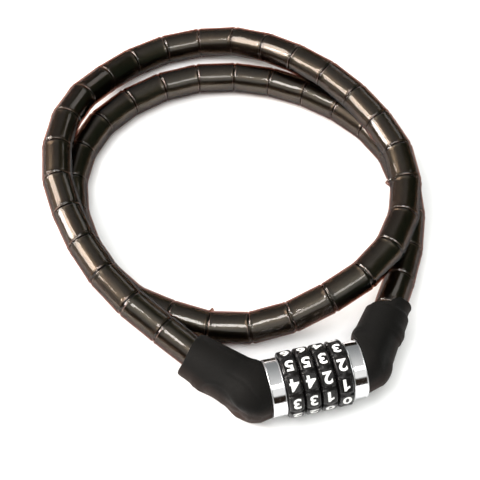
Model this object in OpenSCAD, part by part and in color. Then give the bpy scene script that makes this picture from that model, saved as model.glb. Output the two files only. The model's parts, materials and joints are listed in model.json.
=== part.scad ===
// Combination cable lock: four dials on a barrel, a finned bolt that slides into them, and an
// armoured steel cable coiled twice between the two elbows. Millimetres, +Z up.
// The dial stack lies along X with its middle above the origin, and the coil lies towards +Y.

/* [Dials] */
// Radius of a dial over its digits; the lock stands on its dials
dial_radius = 17.5; // [17:0.5:18.5]
// Distance from one dial to the next
dial_pitch = 8.8; // [8.6:0.1:9.4]
// Gap left between neighbouring dials
dial_gap = 0.4; // [0.3:0.1:0.6]
// Depth of the flat that each digit stands on
flat_depth = 0.5; // [0.2:0.1:0.8]
// How far each dial's digits are turned from the gate at rest, in degrees
dial_rest = [27, 27, 27, 11]; // [0:1:35]

/* [Collars] */
// Outer radius of the chrome collars
collar_radius = 15.4; // [15:0.1:15.8]
// Length of each collar along the lock
collar_length = 7.8; // [7.4:0.1:8.4]

/* [Bolt] */
// Radius of the bolt's rod
bolt_radius = 4.1; // [3.8:0.1:4.1]
// Reach of the bolt's fins from the axis
fin_reach = 8.2; // [7.8:0.1:8.3]
// Width of a fin
fin_width = 3; // [2.4:0.1:3.2]

/* [Elbows] */
// Distance from the middle of the dials to the left bend
left_bend = 34; // [33:0.5:36]
// Distance from the middle of the dials to the right bend
right_bend = 31; // [30:0.5:33]
// Angle that the left arm turns away from the lock's axis
left_turn = 50.5; // [48:0.5:53]
// Angle that the right arm turns away from the lock's axis
right_turn = 57; // [55:0.5:59]
// Length of an arm, from its bend to the boot's mouth
arm_length = 40; // [39:0.5:41]
// Radius of a boot at its mouth
mouth_radius = 12; // [11.8:0.1:12.6]

/* [Cable] */
// Outer radius of the sheathed cable
cable_radius = 9; // [8.9:0.05:9.1]
// Outer radius of the steel sleeves
sleeve_radius = 7.9; // [7.6:0.1:7.9]
// Radius of the wire rope in the middle
core_radius = 2.5; // [2:0.1:2.6]
// Number of steel sleeves threaded on the rope
link_count = 50; // [49:1:52]

/* [Hidden] */
$fn = 64;

axis_height = dial_radius;
dial_width = dial_pitch - dial_gap;
stack_half = 2 * dial_pitch;
play = 0.1;
eps = 0.01;

// Barrel and what is stacked on it
barrel_radius = 6;
barrel_bore = bolt_radius + play;
key_width = fin_width + 0.4;
collar_start = stack_half + 0.1;
collar_end = collar_start + collar_length;
flange_radius = collar_radius - 2.1;
flange_start = stack_half + 0.8;
ring_groove_start = collar_end - 2.4;
cap_recess_depth = 2.6;
cross_pin_radius = 1.2;
cross_pin_at = collar_end - 3.8;

// Code discs inside the dials
disc_radius = 11.4;
digit_count = 10;
key_rib_width = 2;
key_rib_height = 0.8;
pocket_radius = fin_reach + 0.3;
pocket_depth = 4.7;
fin_length = 2.8;
fin_inset = 0.9;
notch_radius = 0.5;

// Elbow castings, boots and ferrules
elbow_radius = 11;
stub_radius = 10.6;
arm_radius = 10;
bolt_pin_at = right_bend - 2.4;
arm_reach = arm_length - 6;
cable_start = arm_length - 4;
boot_ball = [15.9, 14.9];
boot_ball_x = [-left_bend, right_bend - 2.5];
mouth_shift = [-1.4, 0.5];
mouth_bevel = 1.2;
mouth_flare = [0.7, 1.1];
cuff_radius = collar_radius - 0.1;
cable_bore = cable_radius + 0.3;
ferrule_radius = 6.5;
ferrule_start = 14;
ferrule_end = arm_length - 8.5;
ferrule_groove_at = 24;
ferrule_groove_depth = 1.2;

// Side 0 is the left arm, which turns back from -X; side 1 is the right arm
function arm_heading(side) = side == 0 ? 180 - left_turn : right_turn;
function bend_point(side) = [side == 0 ? -left_bend : right_bend, 0, axis_height];
function arm_dir(side) = [cos(arm_heading(side)), sin(arm_heading(side)), 0];
function arm_point(side, s) = bend_point(side) + s * arm_dir(side);

// Route of the cable's centreline, from the left arm round two turns to the right arm
route = concat(
    [arm_point(0, cable_start), arm_point(0, arm_length)],
    [
        [-72, 46, 21.5], [-87.5, 65.5, 26.5], [-99.5, 90, 27.5], [-107, 118, 27.5],
        [-110.5, 148, 27.5], [-105, 177.5, 27.2], [-90.5, 205.5, 21.5], [-67, 228, 12],
        [-40, 240.5, 9.6], [-10, 243, 9.6], [19.5, 231, 16], [46, 201.5, 26],
        [65.5, 174, 27.8], [79, 142, 27.6], [83, 112, 27.6], [73.5, 80, 27.9],
        [52.5, 55, 28.5], [26, 43.5, 24], [-4, 38, 16.5], [-35, 41.5, 10.5],
        [-62, 56, 9.3], [-86, 75.5, 9.3], [-100.5, 105, 9.3], [-105.5, 136, 9.3],
        [-99.5, 167, 9.3], [-81, 193.5, 9.3], [-52, 210, 9.3], [-20, 215.5, 9.3],
        [12, 209.5, 9.3], [41, 194, 9.3], [66, 170.5, 9.3], [83, 141, 9.3],
        [86, 110, 9.3], [79, 80, 9.3], [67, 56, 10]
    ],
    [arm_point(1, arm_length), arm_point(1, cable_start)]
);

// Smooth curve through the route, then joints at equal steps along it
smooth_steps = 12;
function spline(a, b, c, d, t) =
    0.5 * (2 * b + (c - a) * t + (2 * a - 5 * b + 4 * c - d) * t * t
        + (3 * b - a - 3 * c + d) * t * t * t);
last_point = len(route) - 1;
padded = concat([2 * route[0] - route[1]], route, [2 * route[last_point] - route[last_point - 1]]);
curve = concat(
    [
        for (i = [0 : last_point - 1], k = [0 : smooth_steps - 1])
            spline(padded[i], padded[i + 1], padded[i + 2], padded[i + 3], k / smooth_steps)
    ],
    [route[last_point]]
);
curve_last = len(curve) - 1;
travel = [
    for (i = 0, s = 0; i <= curve_last; s = s + norm(curve[min(i + 1, curve_last)] - curve[i]), i = i + 1)
        s
];
cable_length = travel[curve_last];
link_pitch = cable_length / link_count;
function along(s) = [
    for (axis = [0 : 2])
        lookup(s, [for (i = [0 : curve_last]) [travel[i], curve[i][axis]]])
];
joints = [for (i = [0 : link_count]) along(i * link_pitch)];

// The rope's path runs on from the joints at both ends, along the arms and into the ferrules
cable_path = concat([arm_point(0, ferrule_start + 1)], joints, [arm_point(1, ferrule_start + 1)]);
path_last = len(cable_path) - 1;

// The last links bend with the elbow that is pulled out, so they are nodes of their own
tail_links = 6;
tail_start = link_count - tail_links;
tail_index = tail_start + 1;

// Swept tube: a regular prism along each straight stretch, mitred at every joint
sheath_sides = 12;
core_sides = 8;
sheath_bore = (sleeve_radius + play) / cos(180 / sheath_sides);
function unit(v) = v / norm(v);
function heading(i) = unit(cable_path[min(i + 1, path_last)] - cable_path[min(i, path_last - 1)]);
function mirrored(v, m) = v - 2 * (v * m) * m;
function mitre(i) = unit(heading(max(i - 1, 0)) + heading(i));
side_at = [
    for (i = 0, u = unit(cross(heading(0), [0, 0, 1])); i <= path_last;
        i = i + 1, u = i <= path_last ? mirrored(u, mitre(i)) : u)
        u
];
function ring(i, radius, count) = let (
    back = heading(max(i - 1, 0)),
    before = side_at[max(i - 1, 0)],
    up = cross(back, before)
) [
    for (k = [0 : count - 1])
        let (out = radius * (cos(360 * k / count) * before + sin(360 * k / count) * up))
            cable_path[i] + out - back * (out * mitre(i)) / (back * mitre(i))
];
function rings(first, last, radius, count) = [
    for (i = [first : last]) each ring(i, radius, count)
];
function walls(ring_count, count, first, flip) = [
    for (i = [0 : ring_count - 2], k = [0 : count - 1])
        let (
            a = first + i * count + k,
            b = first + i * count + (k + 1) % count
        )
            flip ? [a, a + count, b + count, b] : [a, b, b + count, a + count]
];

module rope(first, last) {
    n = last - first + 1;
    count = core_sides;
    polyhedron(
        rings(first, last, core_radius, count),
        concat(
            walls(n, count, 0, true),
            [[for (k = [0 : count - 1]) k]],
            [[for (k = [count - 1 : -1 : 0]) (n - 1) * count + k]]
        )
    );
}

module hose(first, last) {
    n = last - first + 1;
    count = sheath_sides;
    hole = n * count;
    polyhedron(
        concat(rings(first, last, cable_radius, count), rings(first, last, sheath_bore, count)),
        concat(
            walls(n, count, 0, true),
            walls(n, count, hole, false),
            [
                for (k = [0 : count - 1])
                    let (m = (k + 1) % count)
                        [k, m, hole + m, hole + k]
            ],
            [
                for (k = [0 : count - 1])
                    let (m = (k + 1) % count, e = (n - 1) * count)
                        [e + m, e + k, hole + e + k, hole + e + m]
            ]
        )
    );
}

// Places a piece drawn along Z so that it lies along the lock's axis, its +X side facing down
module on_axis() {
    translate([0, 0, axis_height])
        rotate([0, 90, 0])
            children();
}

module tube(outer, inner, from, to) {
    translate([0, 0, from])
        difference() {
            cylinder(r = outer, h = to - from);
            translate([0, 0, -eps])
                cylinder(r = inner, h = to - from + 2 * eps);
        }
}

module keyway(reach, from, to) {
    translate([0, -key_width / 2, from])
        cube([reach, key_width, to - from]);
}

// Places a piece drawn along Z so that it lies along an arm, with +X to the arm's left side
module on_arm(side, s = 0) {
    translate(arm_point(side, s))
        rotate([0, 0, arm_heading(side)])
            rotate([0, 90, 0])
                children();
}

module cross_pin(length) {
    rotate([0, 90, 0])
        translate([0, 0, -length / 2])
            cylinder(r = cross_pin_radius, h = length);
}

module cross_hole(length) {
    rotate([0, 90, 0])
        translate([0, 0, -length / 2])
            cylinder(r = cross_pin_radius + 0.05, h = length);
}

module barrel() {
    color("silver")
        on_axis()
            difference() {
                union() {
                    translate([0, 0, -collar_end + 0.6])
                        cylinder(r = barrel_radius, h = 2 * collar_end - 1.8);
                    translate([0, 0, -collar_end + 0.6])
                        cylinder(r = flange_radius, h = collar_end - flange_start - 0.6);
                }
                translate([0, 0, -collar_end])
                    cylinder(r = barrel_bore, h = 2 * collar_end);
                keyway(barrel_radius + 1, -stack_half + 0.6, collar_end);
                tube(barrel_radius + 1, barrel_radius - 0.8, ring_groove_start, ring_groove_start + 0.9);
                translate([-barrel_radius - 0.5, -1.5, -stack_half + 0.8])
                    cube([1.4, 3, 2 * stack_half - 1.6]);
                translate([0, 0, -cross_pin_at])
                    cross_hole(2 * flange_radius + 1);
            }
}

module barrel_pin() {
    color("dimgray")
        on_axis()
            translate([0, 0, -cross_pin_at])
                cross_pin(2 * flange_radius - 1);
}

module collar(from) {
    lip = 0.5;
    wall = 2;
    on_axis()
        translate([0, 0, from])
            rotate_extrude()
                polygon([
                    [collar_radius - wall, 0],
                    [collar_radius - lip, 0],
                    [collar_radius - lip * 0.3, lip * 0.3],
                    [collar_radius, lip],
                    [collar_radius, collar_length - lip],
                    [collar_radius - lip * 0.3, collar_length - lip * 0.3],
                    [collar_radius - lip, collar_length],
                    [collar_radius - wall, collar_length]
                ]);
}

module left_collar() {
    color("gainsboro")
        collar(-collar_end);
}

module right_collar() {
    color("gainsboro")
        collar(collar_start);
}

module end_cap() {
    color("silver")
        on_axis()
            difference() {
                tube(flange_radius, barrel_radius + 0.05, collar_start, collar_end - 0.3);
                keyway(pocket_radius, stack_half, collar_end);
                translate([0, 0, collar_end - cap_recess_depth])
                    cylinder(r = 9, h = cap_recess_depth);
            }
}

module retaining_ring() {
    color("dimgray")
        on_axis()
            difference() {
                tube(8.6, barrel_radius - 0.7, ring_groove_start + 0.1, ring_groove_start + 0.8);
                translate([0, -2.5, ring_groove_start - 1])
                    cube([12, 5, 3]);
            }
}

module wave_washer() {
    color("slategray")
        on_axis()
            tube(10, barrel_radius + 0.3, -stack_half - 0.7, -stack_half - 0.1);
}

module detent_leaf() {
    leaf_top = barrel_radius - 0.4;
    color("steelblue")
        on_axis()
            union() {
                translate([-leaf_top, -1.4, -stack_half + 1])
                    cube([0.4, 2.8, 2 * stack_half - 2]);
                for (i = [0 : 3])
                    translate([-leaf_top, 0, dial_centre(i) + 1])
                        cylinder(r = 0.4, h = 2.6);
            }
}

function dial_centre(i) = (i - 1.5) * dial_pitch;

module dial(i) {
    shoulder = 2.1;
    crown = dial_radius - shoulder;
    half = dial_width / 2;
    step = 360 / digit_count;
    slot_reach = disc_radius + key_rib_height + play;
    slot_width = key_rib_width + 2 * play;
    color("#1b1b1c")
        on_axis()
            translate([0, 0, dial_centre(i)])
                rotate([0, 0, dial_rest[i]])
                    difference() {
                        rotate_extrude()
                            polygon(concat(
                                [[disc_radius + play, -half]],
                                [
                                    for (a = [0 : 18 : 90])
                                        [crown + shoulder * sin(a), -half + 1.5 - 1.5 * cos(a)]
                                ],
                                [
                                    for (a = [90 : -18 : 0])
                                        [crown + shoulder * sin(a), half - 1.5 + 1.5 * cos(a)]
                                ],
                                [[disc_radius + play, half]]
                            ));
                        for (k = [0 : digit_count - 1])
                            rotate([0, 0, k * step]) {
                                translate([dial_radius - flat_depth, -6, -2.5])
                                    cube([2, 12, 5]);
                                translate([0, -slot_width / 2, -half - 1])
                                    cube([slot_reach, slot_width, dial_width + 2]);
                                rotate([0, 0, step / 2])
                                    translate([dial_radius + 1, 0, -half])
                                        sphere(r = 2.6);
                            }
                    }
}

module code_disc(i) {
    half = dial_width / 2;
    step = 360 / digit_count;
    color("goldenrod")
        on_axis()
            translate([0, 0, dial_centre(i)])
                difference() {
                    union() {
                        translate([0, 0, -half])
                            cylinder(r = disc_radius, h = dial_width);
                        for (side = [0, 180])
                            rotate([0, 0, side + dial_rest[i]])
                                translate([disc_radius - 1, -key_rib_width / 2, -half + 0.5])
                                    cube([1 + key_rib_height, key_rib_width, dial_width - 1]);
                    }
                    translate([0, 0, -half - 1])
                        cylinder(r = barrel_radius + play, h = dial_width + 2);
                    translate([0, 0, -half - 1])
                        cylinder(r = pocket_radius, h = pocket_depth + 1);
                    keyway(pocket_radius, -half, half + 1);
                    for (k = [1 : digit_count - 1])
                        rotate([0, 0, k * step])
                            translate([barrel_radius + play, 0, 0])
                                cylinder(r = notch_radius, h = half + 1, $fn = 24);
                }
}

module bolt() {
    tip = -stack_half + 0.8;
    shank_end = right_bend + 2;
    fin_from = -dial_width / 2 + fin_inset;
    color("lightsteelblue")
        on_axis()
            difference() {
                union() {
                    translate([0, 0, tip])
                        cylinder(r1 = bolt_radius - 1, r2 = bolt_radius, h = 1);
                    translate([0, 0, tip + 1])
                        cylinder(r = bolt_radius, h = shank_end - tip - 1);
                    for (i = [0 : 3])
                        translate([bolt_radius - 1, -fin_width / 2, dial_centre(i) + fin_from])
                            cube([fin_reach - bolt_radius + 1, fin_width, fin_length]);
                }
                translate([0, 0, bolt_pin_at])
                    cross_hole(3 * bolt_radius);
            }
}

module bolt_pin() {
    color("dimgray")
        on_axis()
            translate([0, 0, bolt_pin_at])
                cross_pin(2 * elbow_radius - 1.6);
}

// An elbow's outer shape, grown by a clearance: a stub towards the dials, a ball and an arm
module elbow_shape(side, grow) {
    stub = abs(bend_point(side)[0]) - collar_end + 2;
    on_axis()
        translate([0, 0, side == 0 ? -left_bend : right_bend - stub])
            cylinder(r = stub_radius + grow, h = stub);
    translate(bend_point(side))
        rotate([0, 0, side == 0 ? 180 : 0])
            sphere(r = elbow_radius + grow);
    on_arm(side)
        cylinder(r = arm_radius + grow, h = arm_reach + grow);
}

// Everything on the dials' side of a collar's outer face
module face_trim(side) {
    on_axis()
        translate([0, 0, side == 0 ? -collar_end - 0.1 : 0])
            cylinder(r = 20, h = collar_end + 0.1);
}

module ferrule_socket(side) {
    on_arm(side, ferrule_start)
        cylinder(r = ferrule_radius + play, h = arm_length);
    on_arm(side, ferrule_groove_at)
        translate([0, ferrule_radius + 0.1, 0])
            cross_hole(2 * arm_radius);
}

module left_elbow() {
    tenon_root = left_bend - 6;
    color("darkgray")
        difference() {
            union() {
                difference() {
                    elbow_shape(0, 0);
                    face_trim(0);
                    ferrule_socket(0);
                }
                on_axis()
                    translate([0, 0, -tenon_root])
                        cylinder(r = bolt_radius, h = tenon_root - stack_half - 0.6);
            }
            on_axis()
                translate([0, 0, -cross_pin_at])
                    cross_hole(2 * flange_radius + 1);
        }
}

module right_elbow() {
    color("darkgray")
        difference() {
            elbow_shape(1, 0);
            face_trim(1);
            ferrule_socket(1);
            on_axis()
                translate([0, 0, collar_end - 1])
                    cylinder(r = bolt_radius + 0.05, h = right_bend + 3.1 - collar_end);
            on_axis()
                translate([0, 0, bolt_pin_at])
                    cross_hole(2 * elbow_radius + 1);
        }
}

// Rubber boot: a cuff behind the collar, a ball at the bend and a cone out to a bevelled mouth
module boot(side) {
    ball = boot_ball[side];
    ball_x = boot_ball_x[side];
    across = [-arm_dir(side)[1], arm_dir(side)[0], 0];
    mouth = arm_point(side, arm_length) + (side == 0 ? -1 : 1) * mouth_shift[side] * across;
    reach = mouth - [ball_x, 0, axis_height];
    cone = norm(reach) - mouth_bevel;
    cuff = abs(ball_x) - collar_end + 2;
    inset = 0.15;
    flare_length = 10;
    flare_start = cable_bore - 0.3;
    flare_end = 2 * (cable_bore + mouth_flare[side]) - flare_start;
    difference() {
        union() {
            on_axis()
                mirror([0, 0, side == 0 ? 0 : 1])
                    translate([0, 0, -abs(ball_x)])
                        cylinder(r1 = ball - inset, r2 = cuff_radius, h = cuff);
            translate([ball_x, 0, axis_height])
                rotate([0, 0, side == 0 ? 180 : 0])
                    sphere(r = ball);
            translate([ball_x, 0, axis_height])
                rotate([0, 0, atan2(reach[1], reach[0])])
                    rotate([0, 90, 0]) {
                        cylinder(r1 = ball - inset, r2 = mouth_radius, h = cone);
                        translate([0, 0, cone])
                            cylinder(r1 = mouth_radius, r2 = mouth_radius - mouth_bevel, h = mouth_bevel);
                    }
        }
        face_trim(side);
        elbow_shape(side, play);
        on_arm(side)
            cylinder(r = cable_bore, h = arm_length * 2);
        on_arm(side, arm_length - flare_length / 2)
            cylinder(r1 = flare_start, r2 = flare_end, h = flare_length);
    }
}

module left_boot() {
    color("#2a2a2b")
        boot(0);
}

module right_boot() {
    color("#2a2a2b")
        boot(1);
}

module ferrule(side) {
    color("lightgray")
        on_arm(side)
            difference() {
                tube(ferrule_radius, core_radius + play, ferrule_start + 0.2, ferrule_end);
                tube(ferrule_radius + 1, ferrule_radius - ferrule_groove_depth,
                    ferrule_groove_at - 1.4, ferrule_groove_at + 1.4);
            }
}

module ferrule_pin(side) {
    color("dimgray")
        on_arm(side, ferrule_groove_at)
            translate([0, ferrule_radius + 0.1, 0])
                cross_pin(2 * arm_radius - 7);
}

// One armour sleeve along +Z. Its ball nose is centred on its own start, and the open skirt at
// its other end holds the next sleeve's nose, with slack for the bend between the two.
nose_radius = 6.2;
nose_cut = 3.6;
rope_bore = 3.4;
rope_flare = 4.3;
shoulder_at = 1.8;
skirt_bore = nose_radius + 0.2;
skirt_end = link_pitch - 2.2;
edge = 0.5;
module sleeve() {
    rotate_extrude()
        polygon(concat(
            [[rope_flare, -nose_cut]],
            [for (a = [-36 : 12 : 12]) [nose_radius * cos(a), nose_radius * sin(a)]],
            [
                [nose_radius - 0.6, shoulder_at],
                [sleeve_radius - edge, shoulder_at],
                [sleeve_radius, shoulder_at + edge],
                [sleeve_radius, skirt_end - edge],
                [sleeve_radius - edge, skirt_end],
                [skirt_bore, skirt_end],
                [skirt_bore, shoulder_at + 4],
                [rope_bore, shoulder_at + 1.5],
                [rope_bore, 0]
            ]
        ));
}

module sleeves(first, last) {
    color("gray")
        for (i = [first : last])
            let (dir = unit(joints[i + 1] - joints[i]))
                translate(joints[i])
                    rotate([0, acos(dir[2]), atan2(dir[1], dir[0])])
                        sleeve();
}

module cable_sleeves() {
    sleeves(0, tail_start - 1);
}

module tail_sleeves() {
    sleeves(tail_start, link_count - 1);
}

module cable_sheath() {
    color("#3a342f")
        hose(1, tail_index);
}

module tail_sheath() {
    color("#3a342f")
        hose(tail_index, path_last - 1);
}

module cable_core() {
    color("slategray")
        rope(0, tail_index);
}

module tail_core() {
    color("slategray")
        rope(tail_index, path_last);
}

barrel();
barrel_pin();
left_collar();
right_collar();
end_cap();
retaining_ring();
wave_washer();
detent_leaf();
dial(0);  // dial_1
dial(1);  // dial_2
dial(2);  // dial_3
dial(3);  // dial_4
code_disc(0);  // code_disc_1
code_disc(1);  // code_disc_2
code_disc(2);  // code_disc_3
code_disc(3);  // code_disc_4
bolt();
bolt_pin();
left_elbow();
right_elbow();
left_boot();
right_boot();
ferrule(0);  // left_ferrule
ferrule(1);  // right_ferrule
ferrule_pin(0);  // left_ferrule_pin
ferrule_pin(1);  // right_ferrule_pin
cable_sleeves();
cable_sheath();
cable_core();
tail_sleeves();
tail_sheath();
tail_core();
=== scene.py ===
"""Combination cable lock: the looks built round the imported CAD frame.

+Z is up, the lock lies along X, and its coil lies towards +Y. Meshes are worked out in millimetres,
and add_piece turns them into metres. The camera, the cable's route, the floor and the lights are in
metres.
"""

import math

import bpy
import numpy as np
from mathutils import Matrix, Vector
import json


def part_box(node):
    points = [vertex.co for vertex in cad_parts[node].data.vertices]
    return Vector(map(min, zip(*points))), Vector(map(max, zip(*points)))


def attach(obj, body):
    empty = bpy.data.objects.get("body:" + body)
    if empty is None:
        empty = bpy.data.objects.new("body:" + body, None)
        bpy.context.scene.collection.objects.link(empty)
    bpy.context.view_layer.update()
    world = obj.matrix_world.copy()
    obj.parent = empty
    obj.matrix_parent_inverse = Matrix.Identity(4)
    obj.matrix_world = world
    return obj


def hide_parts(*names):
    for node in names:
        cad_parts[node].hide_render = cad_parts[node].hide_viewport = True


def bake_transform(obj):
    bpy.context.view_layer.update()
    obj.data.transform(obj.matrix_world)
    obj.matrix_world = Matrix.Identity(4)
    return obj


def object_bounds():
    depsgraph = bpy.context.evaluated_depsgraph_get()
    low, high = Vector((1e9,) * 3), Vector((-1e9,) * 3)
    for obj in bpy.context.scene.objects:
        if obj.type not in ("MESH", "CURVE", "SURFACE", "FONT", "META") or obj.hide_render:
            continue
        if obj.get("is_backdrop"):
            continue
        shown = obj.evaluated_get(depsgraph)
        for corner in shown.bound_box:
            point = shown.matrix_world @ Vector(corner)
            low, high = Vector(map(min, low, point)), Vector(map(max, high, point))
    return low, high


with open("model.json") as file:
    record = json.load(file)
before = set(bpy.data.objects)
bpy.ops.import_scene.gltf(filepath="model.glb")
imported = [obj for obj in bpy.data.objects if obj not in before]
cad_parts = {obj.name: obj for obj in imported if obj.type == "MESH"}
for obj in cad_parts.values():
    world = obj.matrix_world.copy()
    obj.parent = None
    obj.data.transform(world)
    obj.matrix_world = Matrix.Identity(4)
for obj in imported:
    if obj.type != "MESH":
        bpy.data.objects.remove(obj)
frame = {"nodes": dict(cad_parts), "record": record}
cad_low, cad_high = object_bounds()
MM = 0.001

# Driving places in millimetres and degrees, taken from the frame where it has them
dial_low, dial_high = (np.array(corner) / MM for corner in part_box("dial_2"))
collar_low, collar_high = (np.array(corner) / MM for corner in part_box("left_collar"))
AXIS_HEIGHT = (dial_low[2] + dial_high[2]) / 2
DIAL_WIDTH = dial_high[0] - dial_low[0]
COLLAR_RADIUS = (collar_high[2] - collar_low[2]) / 2
COLLAR_END = -collar_low[0]
ARM_LENGTH = 40.0
CABLE_START = 36.0
BEND_X = (-34.0, 31.0)
ARM_HEADING = (180 - 50.5, 57.0)
CABLE_RADIUS = 9.0
CORE_RADIUS = 2.5
LINK_COUNT = 50
TAIL_START = 44


# ---------------------------------------------------------------- camera

def add_camera():
    """The photograph's view: a long lens from the front, high up and a little to the left."""
    data = bpy.data.cameras.new("view")
    data.lens = 90
    data.sensor_width = 36
    camera = bpy.data.objects.new("view", data)
    camera.location = (-0.0988, -0.2450, 0.5932)
    target = Vector((-0.0154, 0.1015, 0.0))
    camera.rotation_euler = (target - camera.location).to_track_quat("-Z", "Y").to_euler()
    bpy.context.scene.collection.objects.link(camera)
    bpy.context.scene.camera = camera


add_camera()


# ---------------------------------------------------------------- material helpers

class Nodes:
    """A material's or the world's node tree, with short calls to add and join nodes."""

    def __init__(self, tree, clear=True):
        self.tree = tree
        if clear:
            tree.nodes.clear()

    def add(self, kind, **settings):
        node = self.tree.nodes.new(kind)
        for name, value in settings.items():
            setattr(node, name, value)
        return node

    def join(self, source, target):
        self.tree.links.new(source, target)

    def maths(self, operation, a, b=0.5, clamp=False):
        node = self.add("ShaderNodeMath", operation=operation, use_clamp=clamp)
        for socket, value in zip(node.inputs, (a, b)):
            self.feed(socket, value)
        return node.outputs[0]

    def feed(self, socket, value):
        if isinstance(value, bpy.types.NodeSocket):
            self.join(value, socket)
        else:
            socket.default_value = value

    def place(self):
        return self.add("ShaderNodeTexCoord").outputs["Object"]

    def noise(self, scale, detail=3.0, stretch=(1, 1, 1)):
        mapping = self.add("ShaderNodeMapping")
        mapping.inputs["Scale"].default_value = stretch
        self.join(self.place(), mapping.inputs["Vector"])
        node = self.add("ShaderNodeTexNoise")
        node.inputs["Scale"].default_value = scale
        node.inputs["Detail"].default_value = detail
        self.join(mapping.outputs[0], node.inputs["Vector"])
        return node.outputs["Fac"]

    def ramp(self, value, low, high, from_low=0.3, from_high=0.7):
        """Spreads a noise value over the range low to high."""
        node = self.add("ShaderNodeMapRange")
        node.inputs["From Min"].default_value = from_low
        node.inputs["From Max"].default_value = from_high
        node.inputs["To Min"].default_value = low
        node.inputs["To Max"].default_value = high
        self.join(value, node.inputs["Value"])
        return node.outputs["Result"]

    def blend(self, factor, first, second):
        node = self.add("ShaderNodeMix", data_type="RGBA")
        self.feed(node.inputs[0], factor)
        self.feed(node.inputs[6], first)
        self.feed(node.inputs[7], second)
        return node.outputs[2]

    def bump(self, height, strength, distance):
        node = self.add("ShaderNodeBump")
        node.inputs["Strength"].default_value = strength
        node.inputs["Distance"].default_value = distance
        self.join(height, node.inputs["Height"])
        return node.outputs["Normal"]


def rgb(red, green, blue):
    return (red, green, blue, 1.0)


def new_material(name):
    material = bpy.data.materials.new(name)
    material.use_nodes = True
    nodes = Nodes(material.node_tree)
    output = nodes.add("ShaderNodeOutputMaterial")
    return material, nodes, output.inputs["Surface"]


def principled(name, colour, second, roughness, metallic=0.0, grain=900.0, bump=0.15,
               stretch=(1, 1, 1), blotch=60.0, specular=0.5, depth=0.00005):
    """A surface with blotches of a second colour, and a fine grain in its gloss and relief."""
    material, nodes, surface = new_material(name)
    shader = nodes.add("ShaderNodeBsdfPrincipled")
    shader.inputs["Metallic"].default_value = metallic
    shader.inputs["Specular IOR Level"].default_value = specular
    patches = nodes.ramp(nodes.noise(blotch), 0.0, 1.0)
    fine = nodes.noise(grain, 4.0, stretch)
    nodes.join(nodes.blend(patches, rgb(*colour), rgb(*second)), shader.inputs["Base Color"])
    nodes.join(nodes.ramp(fine, *roughness), shader.inputs["Roughness"])
    nodes.join(nodes.bump(fine, bump, depth), shader.inputs["Normal"])
    nodes.join(shader.outputs[0], surface)
    return material


# ---------------------------------------------------------------- mesh helpers

def add_piece(name, points, faces, materials, face_material=None, smooth=True):
    """Makes a mesh object from points in millimetres."""
    mesh = bpy.data.meshes.new(name)
    mesh.from_pydata((np.asarray(points) * MM).tolist(), [], faces)
    for material in materials:
        mesh.materials.append(material)
    if face_material is not None:
        mesh.polygons.foreach_set("material_index", np.asarray(face_material, np.int32))
    mesh.polygons.foreach_set("use_smooth", [smooth] * len(faces))
    mesh.validate()
    mesh.update()
    piece = bpy.data.objects.new(name, mesh)
    bpy.context.scene.collection.objects.link(piece)
    return piece


def grid_faces(rows, columns, close_rows, first=0):
    """Quads over a grid whose columns go all the way round, and its rows too with close_rows."""
    faces = []
    for row in range(rows if close_rows else rows - 1):
        here = first + row * columns
        there = first + (row + 1) % rows * columns
        for column in range(columns):
            after = (column + 1) % columns
            faces.append((here + column, here + after, there + after, there + column))
    return faces


def turned_ring(name, outline, centre_x, segments, materials):
    """A closed outline of (x, radius) turned about the lock's axis."""
    angles = np.arange(segments) * 2 * math.pi / segments
    rows = [
        np.stack([np.full(segments, centre_x + x), radius * np.sin(angles),
                  AXIS_HEIGHT + radius * np.cos(angles)], axis=1)
        for x, radius in outline
    ]
    faces = grid_faces(len(rows), segments, True)
    return add_piece(name, np.vstack(rows), faces, materials)


def smooth_step(low, high, value):
    t = np.clip((value - low) / (high - low), 0, 1)
    return t * t * (3 - 2 * t)


# ---------------------------------------------------------------- cable route

def unit(vector):
    return vector / np.linalg.norm(vector)


def arm_dir(side):
    heading = math.radians(ARM_HEADING[side])
    return np.array([math.cos(heading), math.sin(heading), 0.0])


def arm_point(side, along):
    return np.array([BEND_X[side], 0.0, AXIS_HEIGHT]) + along * arm_dir(side)


# The route's points in metres, the same as in the CAD model
ROUTE = (
    (-0.072, 0.046, 0.0215), (-0.0875, 0.0655, 0.0265), (-0.0995, 0.090, 0.0275),
    (-0.107, 0.118, 0.0275), (-0.1105, 0.148, 0.0275), (-0.105, 0.1775, 0.0272),
    (-0.0905, 0.2055, 0.0215), (-0.067, 0.228, 0.012), (-0.040, 0.2405, 0.0096),
    (-0.010, 0.243, 0.0096), (0.0195, 0.231, 0.016), (0.046, 0.2015, 0.026),
    (0.0655, 0.174, 0.0278), (0.079, 0.142, 0.0276), (0.083, 0.112, 0.0276),
    (0.0735, 0.080, 0.0279), (0.0525, 0.055, 0.0285), (0.026, 0.0435, 0.024),
    (-0.004, 0.038, 0.0165), (-0.035, 0.0415, 0.0105), (-0.062, 0.056, 0.0093),
    (-0.086, 0.0755, 0.0093), (-0.1005, 0.105, 0.0093), (-0.1055, 0.136, 0.0093),
    (-0.0995, 0.167, 0.0093), (-0.081, 0.1935, 0.0093), (-0.052, 0.210, 0.0093),
    (-0.020, 0.2155, 0.0093), (0.012, 0.2095, 0.0093), (0.041, 0.194, 0.0093),
    (0.066, 0.1705, 0.0093), (0.083, 0.141, 0.0093), (0.086, 0.110, 0.0093),
    (0.079, 0.080, 0.0093), (0.067, 0.056, 0.010),
)
SMOOTH_STEPS = 12


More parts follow.
